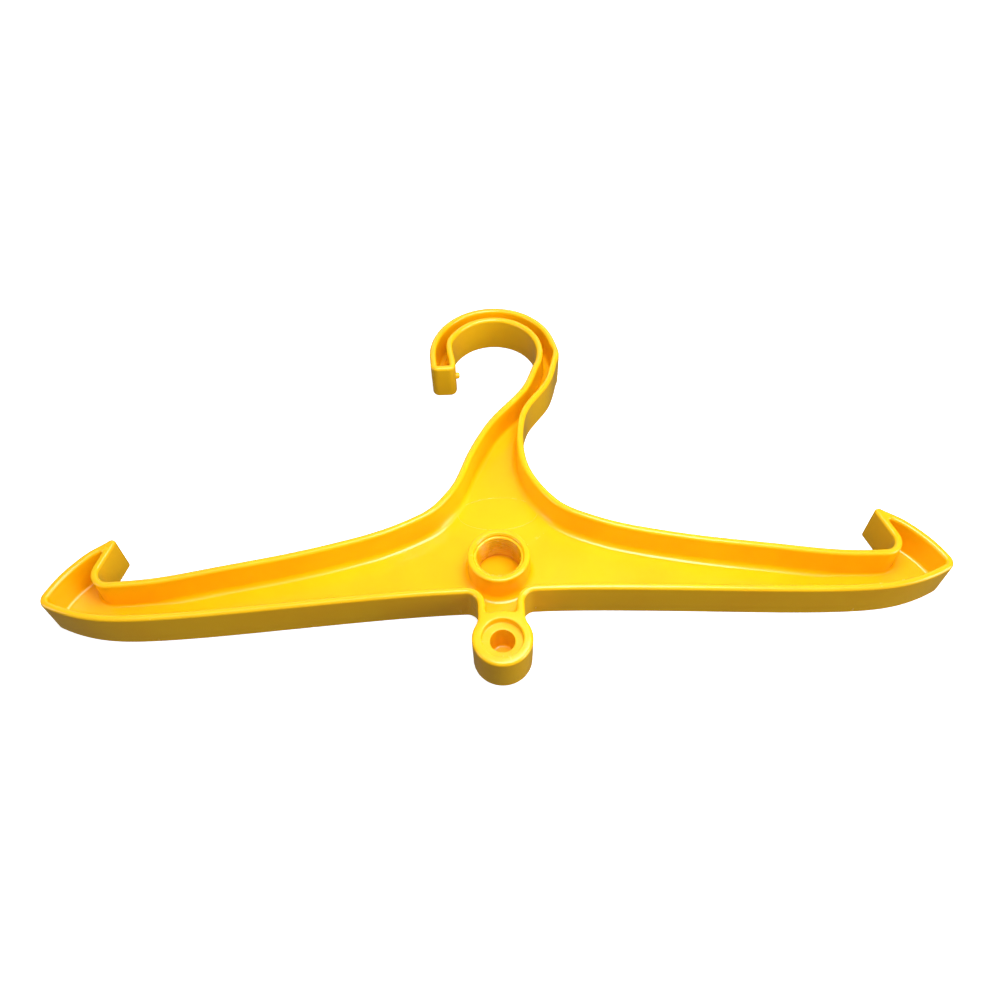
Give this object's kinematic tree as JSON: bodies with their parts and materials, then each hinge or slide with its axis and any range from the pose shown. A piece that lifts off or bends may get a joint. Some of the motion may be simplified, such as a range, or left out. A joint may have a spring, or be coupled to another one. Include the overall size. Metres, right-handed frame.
{
  "type": "dive gear hanger",
  "caption": "Heavy moulded plastic gear hanger with a rail hook, long channel-section arms with strap catches, a central threaded socket and a round seal lug below.",
  "frame": {"origin": "on the axis of the threaded socket, in the plane of the back edges", "axes": "+X to the right along the arms, +Y up towards the rail hook, +Z out of the open front of the channel"},
  "size_m": [0.4152, 0.2237, 0.021],
  "materials": {
    "moulding": "glossy yellow moulded plastic"
  },
  "bodies": {
    "root": {"rail_hook": "moulding", "centre_web": "moulding", "left_stem_rim": "moulding", "right_stem_rim": "moulding", "left_neck_rim": "moulding", "right_neck_rim": "moulding", "left_arm": "moulding", "right_arm": "moulding", "left_strap_catch": "moulding", "right_strap_catch": "moulding", "threaded_socket": "moulding", "seal_lug": "moulding"}
  },
  "joints": []
}
